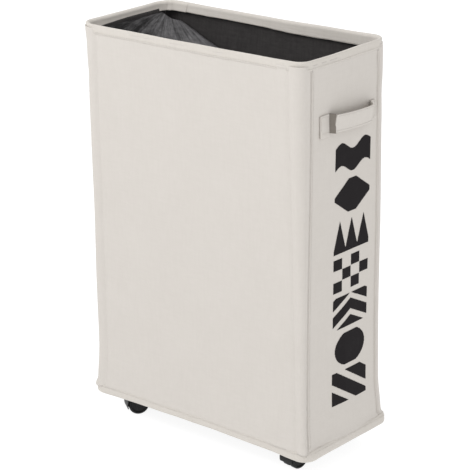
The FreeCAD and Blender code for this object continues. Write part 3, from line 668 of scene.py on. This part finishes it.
def base_band():
    """Bound hem round the base: up the outside, over a soft top edge, and turned under the board."""
    top, low = hem_high.z + 0.5 * MM, hem_low.z
    profile = [(-9 * MM, cover_low.z - 0.4 * MM), (-6.5 * MM, cover_low.z - 1.2 * MM),
               (-5.2 * MM, low + 3 * MM), (-4.4 * MM, low + 1.0 * MM), (-2.8 * MM, low + 0.3 * MM),
               (-1.2 * MM, low + 0.6 * MM), (-0.3 * MM, low + 1.8 * MM), (0.0, low + 4 * MM),
               (-0.1 * MM, (low + top) / 2), (-0.5 * MM, top - 4.5 * MM), (-1.2 * MM, top - 2.2 * MM),
               (-2.3 * MM, top - 0.7 * MM), (-3.6 * MM, top), (-5.6 * MM, top - 0.4 * MM)]
    obj = grid_object("base_band", base_points(profile), BAND, closed=True)
    thicken(obj, 0.9 * MM)
    finish_piece(obj, "tub", "oxford_cloth", "base_hem")
    line = base_points([(-0.15 * MM, top - 3.0 * MM)])[0]
    normals = np.vstack([OUTWARD, OUTWARD[:1]])
    line = np.vstack([line, line[:1]]) + normals * 0.1 * MM
    stitch_row("base_stitches", line, normals, THREAD, "tub", "oxford_cloth")


def underside():
    """Black backing cloth stretched under the base board."""
    flat = level_grid(cover_high, 0.5 * MM, 100, 46, cover_low.z + 0.5 * MM)
    flat[..., 2] += 0.25 * MM * rough(flat * (1, 2.5, 1), 0.04, 6.6)
    obj = grid_object("bottom_cloth", flat, BACKING, flip=True)
    thicken(obj, 0.5 * MM)
    finish_piece(obj, "tub", "lining_cloth", "bottom_cover")


# ---------------------------------------------------------------- lining
def lining():
    """Charcoal lining, slack between the corners, and its floor."""
    heights = np.linspace(floor_high.z - 0.3 * MM, lining_high.z, 90)
    behind = wall_points(LOOP, heights, proud=-2.6 * MM)
    drop = smooth_step(lining_high.z, lining_high.z - 0.05, behind[..., 2])
    slack = 0.8 * MM * (rough(behind * (1, 1, 0.35), 0.04, 11.3) + 1) * drop
    slack += 0.4 * MM * (rough(behind * (1, 1, 0.6), 0.014, 7.4) + 1) * drop
    behind[..., 0] -= LOOP.nx * slack
    behind[..., 1] -= LOOP.ny * slack
    obj = grid_object("lining_cloth_walls", behind, LINING, closed=True, flip=True)
    thicken(obj, 0.6 * MM)
    finish_piece(obj, "tub", "lining_cloth", "lining_walls")
    flat = level_grid(floor_high, 1.5 * MM, 90, 42, floor_high.z)
    flat[..., 2] += 0.5 * MM * (rough(flat, 0.05, 2.0) + 1)
    obj = grid_object("lining_cloth_floor", flat, LINING)
    thicken(obj, 0.6 * MM)
    finish_piece(obj, "tub", "lining_cloth", "lining_floor")


def sleeves():
    """Cloth tubes for the corner rods, gathered a little, with a turned top edge."""
    sides = 24
    angles = np.linspace(0, 2 * math.pi, sides, endpoint=False)
    for k, where in enumerate(PLACES):
        low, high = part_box(f"rod_sleeve_{where}")
        centre = (low + high) / 2
        bore = (high.x - low.x) / 2 - 0.7 * MM
        heights = np.concatenate([np.linspace(low.z, high.z - 8 * MM, 90),
                                  np.linspace(high.z - 7 * MM, high.z, 8)])
        rows = []
        for z in heights:
            cuff = 0.25 * MM * float(smooth_step(high.z - 8 * MM, high.z - 7 * MM, z))
            ring = np.stack([np.cos(angles), np.sin(angles), np.full(sides, z / bore * 0.3)], -1)
            puff = 0.28 * MM * (rough(ring * bore + 0.1 * k, 0.006, 1.7) + 0.4) + cuff
            rows.append(np.stack([centre.x + np.cos(angles) * (bore + puff),
                                  centre.y + np.sin(angles) * (bore + puff), np.full(sides, z)], -1))
        obj = grid_object(f"sleeve_cloth_{where}", np.array(rows), LINING, closed=True)
        thicken(obj, 0.45 * MM)
        finish_piece(obj, "tub", "lining_cloth", f"rod_sleeve_{where}")


# ---------------------------------------------------------------- cover flap
SLOPE = math.radians(23.0)
FLAP_UP = np.array([math.sin(SLOPE), 0.0, math.cos(SLOPE)])
FLAP_LENGTH, FLAP_HALF, TONGUE_HALF, TONGUE = 0.350, 0.080, 0.069, 0.021
SEWN_UNDER = 3 * MM
FLAP_HEM, FLAP_STITCHES = 12 * MM, (2.5 * MM, 10.5 * MM)


def flap_half(u):
    """Half the flap's width: narrow between the rod sleeves at the seam, then out to its full width."""
    return TONGUE_HALF + (FLAP_HALF - TONGUE_HALF) * smooth_step(15 * MM, TONGUE + 7 * MM, u)


def flap_point(u, v):
    """A point of the flap: u metres from the hinge line, v from -1 at the front edge to 1 at the rear.

    It is held up at its rear corner, hangs lower at the front, and creases fan out from that corner.
    """
    y = v * flap_half(u)
    share = u / FLAP_LENGTH
    along = HINGE.x + u * math.cos(SLOPE)
    drop = HINGE.z - u * math.sin(SLOPE)
    held = 0.5 + 0.5 * v
    sag = -13.0 * MM * np.sin(math.pi * np.clip(share, 0, 1)) ** 0.8 * (1 - held ** 3)
    tilt = -13.0 * MM * smooth_step(0, 0.22, share) * (1 - held)
    curl = 4.0 * MM * smooth_step(0.8, 1.0, share) * v * v
    spots = np.stack([along, y, drop], -1)
    past_corner = 6 * MM
    away = np.hypot(u + past_corner, FLAP_HALF - y + past_corner)
    fan = np.arctan2(FLAP_HALF - y + past_corner, u + past_corner)
    rays = rough(np.stack([fan, 0.6 * away, np.zeros_like(fan)], -1), 0.16, 2.4)
    fold = 2.6 * MM * rays * smooth_step(0.01, 0.10, away) * smooth_step(0.0, 0.06, share)
    crease = 0.6 * MM * rough(spots, 0.018, 4.1) * smooth_step(0.0, 0.05, share)
    lift = sag + tilt + curl + fold + crease
    return spots + lift[..., None] * FLAP_UP


def flap():
    """Doubled cloth flap with a turned and twice-stitched hem on its three free edges."""
    rows, columns = 120, 64
    u = np.linspace(-SEWN_UNDER, FLAP_LENGTH, rows)[:, None] * np.ones(columns)
    v = np.ones(rows)[:, None] * np.linspace(-1, 1, columns)
    points = flap_point(u, v)
    edge = np.minimum((1 - np.abs(v)) * FLAP_HALF, FLAP_LENGTH - u)
    edge = np.where(u < TONGUE / 2, 1.0, edge)
    raised = 0.45 * MM * smooth_step(FLAP_HEM + 0.6 * MM, FLAP_HEM - 0.6 * MM, edge)
    quilt = -0.3 * MM * sum(bump_at(back, 0.7 * MM, edge) for back in FLAP_STITCHES)
    points = points + (raised + quilt)[..., None] * FLAP_UP
    obj = grid_object("cover_flap_cloth", points, FLAP)
    thicken(obj, 1.2 * MM)
    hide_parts("cover_flap")
    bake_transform(obj)
    for n, back in enumerate(FLAP_STITCHES):
        inside = 1 - back / FLAP_HALF
        far = FLAP_LENGTH - back
        run = np.linspace(TONGUE / 2, far, 110)
        across = np.linspace(inside, -inside, 60)
        us = np.concatenate([run, np.full_like(across, far), run[::-1]])
        vs = np.concatenate([np.full_like(run, inside), across, np.full_like(run, -inside)])
        line = flap_point(us, vs) + FLAP_UP * 0.35 * MM
        normals = np.tile(FLAP_UP, (len(line), 1))
        stitch_row(f"flap_stitches_{n}", line, normals, GREY_THREAD, "flap", "lining_cloth")


def binding():
    """The strip on the rim band that the flap is sewn to, with its ends turned back into the corners."""
    low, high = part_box("flap_binding")
    past = 9 * MM
    ys = np.linspace(low.y - past, high.y + past, 70)
    shares = np.linspace(0, 1, 16)
    gy, share = np.meshgrid(ys, shares)
    top = high.z - 0.5 * MM - 2.2 * MM * np.clip(-gy / high.y, 0, 1)
    gz = low.z + (top - low.z) * share
    points = np.stack([np.full_like(gy, low.x + 2.0 * MM), gy, gz], -1)
    points[..., 0] += 0.3 * MM * (rough(points, 0.02, 3.3) + 1)
    points[..., 0] -= 0.9 * MM * smooth_step(high.z - 3 * MM, high.z, gz)
    points[..., 0] += 1.5 * MM * smooth_step(high.y + 2 * MM, high.y + past, np.abs(gy))
    obj = grid_object("flap_binding_cloth", points, LINING)
    thicken(obj, 0.8 * MM, offset=1.0)
    finish_piece(obj, "tub", "lining_cloth", "flap_binding")


# ---------------------------------------------------------------- strap handles
STRAP_HALF = (strap_high.z - strap_low.z) / 2
STRAP_Z = (strap_high.z + strap_low.z) / 2 + 1.7 * MM
STRAP_WALL = wall_high.x - 1.2 * MM
STRAP_Y, TAB_Y, SHADE_RAMP_Y = (-0.0328, 0.0620), (-0.0535, -0.0350), (-0.0350, -0.0326)
STRAP_LANDS_Y, BOX_STITCHES_Y = (0.0540, 0.0430), ((-0.0515, -0.0360), (0.0550, 0.0605))
STRAP_TILT, STRAP_PINCH = 2.2 * MM, 0.07


def strap_section(half):
    """Webbing cross-section, outer side first: (outward, along the width), with thicker edges."""
    thick = 0.9 * MM
    widths = np.linspace(-1, 1, 15)
    outer = [(thick * (1 + 0.4 * float(bump_at(1, 0.12, abs(w)))), w) for w in widths]
    inner = [(-thick, w) for w in widths[::-1]]
    return [(t, w * half) for t, w in outer + inner]


def strap_piece(name, side, ys, out, droop, tilt, pinch, half, middle):
    """Sweeps the webbing along Y: out from the wall, drooping, tilted outward at its top and pinched."""
    proud, across = np.array(strap_section(half)).T
    out, droop, tilt, pinch = (values[:, None] for values in (out, droop, tilt, pinch))
    x = side * (STRAP_WALL + out + proud + tilt * (across / half))
    z = middle + droop + across * (1 - pinch)
    points = np.stack([x, ys[:, None] * np.ones(len(across)), z], -1)
    points += 0.22 * MM * rough(points, 0.012, 5.5)[..., None] * np.array([side, 0, 0.6])
    count, columns = points.shape[:2]
    faces = grid_faces(count, columns, closed=True, flip=side < 0)
    first, last = tuple(range(columns)), tuple((count - 1) * columns + k for k in range(columns))
    faces += [first[::-1], last] if side > 0 else [first, last[::-1]]
    obj = mesh_object(name, points, faces, OXFORD)
    round_off = obj.modifiers.new("soft_edges", "SUBSURF")
    round_off.levels = round_off.render_levels = 1
    return finish_piece(obj, "tub", "webbing")


def strap_shade_ramp(name, side):
    """The lip of the patch where the strap comes out of it: a ramp in darkened cloth, painted shade."""
    start, end = SHADE_RAMP_Y
    reach = STRAP_HALF * 0.97
    gy, gz = np.meshgrid(np.linspace(start, end, 14), np.linspace(STRAP_Z - reach, STRAP_Z + reach, 24))
    opened = (gy - start) / (end - start)
    points = np.stack([side * (STRAP_WALL + 1.9 * MM + 8.6 * MM * opened), gy, gz + 1.0 * MM], -1)
    # The ramp is coloured with painted shade, not with lit cloth.
    obj = grid_object(name, points, PAINTED_SHADE_OXFORD, flip=side < 0)
    thicken(obj, 0.8 * MM)
    finish_piece(obj, "tub", "oxford_cloth")


def box_line(side, y0, y1):
    """A rectangle of sewing through strap and wall."""
    corners = [(y0, -1), (y1, -1), (y1, 1), (y0, 1), (y0, -1)]
    x = side * (STRAP_WALL + 2.35 * MM)
    reach = 0.8 * STRAP_HALF
    line = []
    for (ya, wa), (yb, wb) in zip(corners[:-1], corners[1:]):
        for share in np.linspace(0, 1, 14)[:-1]:
            line.append((x, ya + (yb - ya) * share, STRAP_Z + reach * (wa + (wb - wa) * share)))
    return line


def strap_handles():
    """A strap that comes out of its sewn patch past a ramp of painted shade, bulges off the wall and is
    sewn down again.
    """
    for name, side in (("right", 1), ("left", -1)):
        ys = np.linspace(*STRAP_Y, 96)
        rise = smooth_step(*STRAP_LANDS_Y, ys)
        out = 1.4 * MM + rise * 8.8 * MM
        hang = np.clip((ys + 0.033) / 0.085, 0, 1)
        slope = np.clip((ys + 0.005) / 0.040, -0.7, 1)
        droop = -1.6 * MM * np.sin(math.pi * hang) - 1.5 * MM * slope
        tilt, pinch = STRAP_TILT * rise, STRAP_PINCH * rise
        strap = strap_piece(f"strap_{name}", side, ys, out, droop, tilt, pinch, STRAP_HALF, STRAP_Z)
        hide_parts(f"handle_strap_{name}")
        tab = np.linspace(*TAB_Y, 24)
        none = np.zeros(len(tab))
        strap_piece(f"strap_tab_{name}", side, tab, none + 1.3 * MM, none, none, none,
                    STRAP_HALF * 1.13, STRAP_Z - 1.7 * MM)
        strap_shade_ramp(f"strap_shade_ramp_{name}", side)
        for n, w in enumerate((-0.8, 0.8)):
            line = np.stack([side * (STRAP_WALL + out + 1.05 * MM + tilt * w), ys,
                             STRAP_Z + droop + w * STRAP_HALF * (1 - pinch)], -1)[1:]
            stitch_row(f"strap_stitches_{name}_{n}", line, np.tile([side, 0, 0], (len(line), 1)),
                       THREAD, "tub", "webbing")
        for n, (y0, y1) in enumerate(BOX_STITCHES_Y):
            line = box_line(side, y0, y1)
            stitch_row(f"strap_box_stitches_{name}_{n}", line, np.tile([side, 0, 0], (len(line), 1)),
                       THREAD, "tub", "webbing", pitch=3.6 * MM, length=2.6 * MM)


# ---------------------------------------------------------------- printed pattern
def printed_pattern():
    """Seven bold geometric marks in ink, laid on the narrow face's cloth and leaning with it."""
    height, count, gap = print_high.z - print_low.z, 7, 7 * MM
    pitch = (height + gap) / count
    tall = pitch - gap
    left, right = print_low.y, print_high.y
    wide = right - left
    cell, lean = 0.75 * MM, 5 * MM
    face = LOOP.nx > 0.999
    ys = np.arange(left, right + cell / 2, cell)
    zs = np.arange(print_low.z, print_high.z + cell / 2, cell)
    cloth_face = wall_points(LOOP.pick(face), zs, proud=0.28 * MM)
    gy, gz = np.meshgrid(ys, zs)
    leaning = gy + lean * (2 * (gz - print_low.z) / height - 1)
    xs = [np.interp(want, row[:, 1], row[:, 0]) for want, row in zip(leaning, cloth_face)]
    points = np.stack([np.array(xs), leaning, gz], -1)
    inked = np.zeros(gy.shape, bool)
    for k in range(count):
        base = print_low.z + k * pitch
        p = (gy - left) / wide
        q = (gz - base) / tall
        inside = (q >= 0) & (q <= 1) & (p >= 0) & (p <= 1)
        inked |= inside & mark(k, p, q)
    index = -np.ones(gy.shape, int)
    keep_faces, used = [], []
    for i in range(len(zs) - 1):
        for j in range(len(ys) - 1):
            if inked[i, j] and inked[i, j + 1] and inked[i + 1, j] and inked[i + 1, j + 1]:
                quad = []
                for a, b in ((i, j), (i, j + 1), (i + 1, j + 1), (i + 1, j)):
                    if index[a, b] < 0:
                        index[a, b] = len(used)
                        used.append(points[a, b])
                    quad.append(index[a, b])
                keep_faces.append(quad)
    obj = mesh_object("printed_marks", np.array(used), keep_faces, INK)
    thicken(obj, 0.15 * MM)
    finish_piece(obj, "tub", "print_ink", "printed_blocks")


def mark(kind, p, q):
    """One abstract mark on the unit square: bands, disc, chevrons, checks, teeth, diamond or wave."""
    if kind == 0:
        return np.mod(p * 0.9 + q * 0.9, 0.6) < 0.42
    if kind == 1:
        return (p - 0.5) ** 2 + ((q - 0.5) * 0.8) ** 2 < 0.19
    if kind == 2:
        return np.mod(q + np.abs(p - 0.5) * 0.8, 0.5) < 0.34
    if kind == 3:
        return (np.floor(p * 4) + np.floor(q * 3)) % 2 < 0.5
    if kind == 4:
        return q < 1 - 0.85 * np.abs(np.mod(p * 3, 1) - 0.5) * 2
    if kind == 5:
        return np.abs(p - 0.5) + np.abs(q - 0.5) * 0.9 < 0.56
    return np.abs(q - 0.5 - 0.12 * np.sin(p * 2 * math.pi * 1.5)) < 0.34


# ---------------------------------------------------------------- metal and plastic parts
def dress_cad():
    """Finishes for the CAD nodes that are shown as they are."""
    finishes = {"support_rod": ROD, "base_board": BOARD, "caster_plate": STEEL, "caster_screws": STEEL,
                "kingpin": STEEL, "caster_axle": STEEL, "caster_hood": HOOD, "caster_wheel": WHEEL}
    for name, obj in frame["nodes"].items():
        for start, mat in finishes.items():
            if name.startswith(start):
                obj.data.materials.clear()
                obj.data.materials.append(mat)


# ---------------------------------------------------------------- stage, light and camera
def stage():
    """Pale floor and an even white surround."""
    mat = material("pale_floor", (0.26, 0.26, 0.26), 0.95, specular=0.05)
    shader = mat.node_tree.nodes["Principled BSDF"]
    shader.inputs["Emission Color"].default_value = (1, 1, 1, 1)
    shader.inputs["Emission Strength"].default_value = 0.90
    mesh = bpy.data.meshes.new("floor")
    side = 12.0
    corners = [(-side, -side, 0), (side, -side, 0), (side, side, 0), (-side, side, 0)]
    mesh.from_pydata(corners, [], [(0, 1, 2, 3)])
    ground = bpy.data.objects.new("floor", mesh)
    bpy.context.scene.collection.objects.link(ground)
    mesh.materials.append(mat)
    world = bpy.data.worlds.new("white_studio")
    world.use_nodes = True
    world.node_tree.nodes["Background"].inputs["Color"].default_value = (1, 1, 1, 1)
    world.node_tree.nodes["Background"].inputs["Strength"].default_value = 0.79
    bpy.context.scene.world = world
    bpy.context.scene.view_settings.view_transform = "Standard"


def area_light(name, spot, aim, size, power):
    light = bpy.data.lights.new(name, "AREA")
    light.shape = "DISK"
    light.size = size
    light.energy = power
    obj = bpy.data.objects.new(name, light)
    obj.location = spot
    obj.rotation_euler = (Vector(aim) - Vector(spot)).to_track_quat("-Z", "Y").to_euler()
    bpy.context.scene.collection.objects.link(obj)


def lights():
    """A soft key on the wide face, a broad light above, and a faint fill for the printed face."""
    area_light("key", (-0.6, -1.35, 1.65), (0, 0, 0.4), 1.0, 13)
    area_light("top", (0.2, 0.3, 3.2), (0, 0, 0.4), 2.0, 12)
    area_light("fill", (0.75, -0.32, 0.45), (0.2, -0.05, 0.32), 0.3, 0.4)


def camera():
    """A long lens that looks down on the front right corner, rolled a little."""
    azimuth, elevation, roll = (math.radians(a) for a in (41.455, 19.19, -1.2))
    back = Vector((math.sin(azimuth) * math.cos(elevation), -math.cos(azimuth) * math.cos(elevation),
                   math.sin(elevation)))
    right = Vector((math.cos(azimuth), math.sin(azimuth), 0))
    up = back.cross(right)
    turned_right = right * math.cos(roll) + up * math.sin(roll)
    turned_up = up * math.cos(roll) - right * math.sin(roll)
    data = bpy.data.cameras.new("camera")
    data.lens = 156.3
    data.sensor_width = 36.0
    data.clip_end = 50
    obj = bpy.data.objects.new("camera", data)
    turn = Matrix((turned_right, turned_up, back)).transposed().to_4x4()
    eye = (1.7742, -2.0075, hem_low.z + 1.1897)
    obj.matrix_world = Matrix.Translation(eye) @ turn
    bpy.context.scene.collection.objects.link(obj)
    bpy.context.scene.camera = obj


stage()
lights()
camera()
outer_panels()
boards()
rim_wire()
rim_band()
base_band()
underside()
lining()
sleeves()
flap()
binding()
strap_handles()
printed_pattern()
dress_cad()
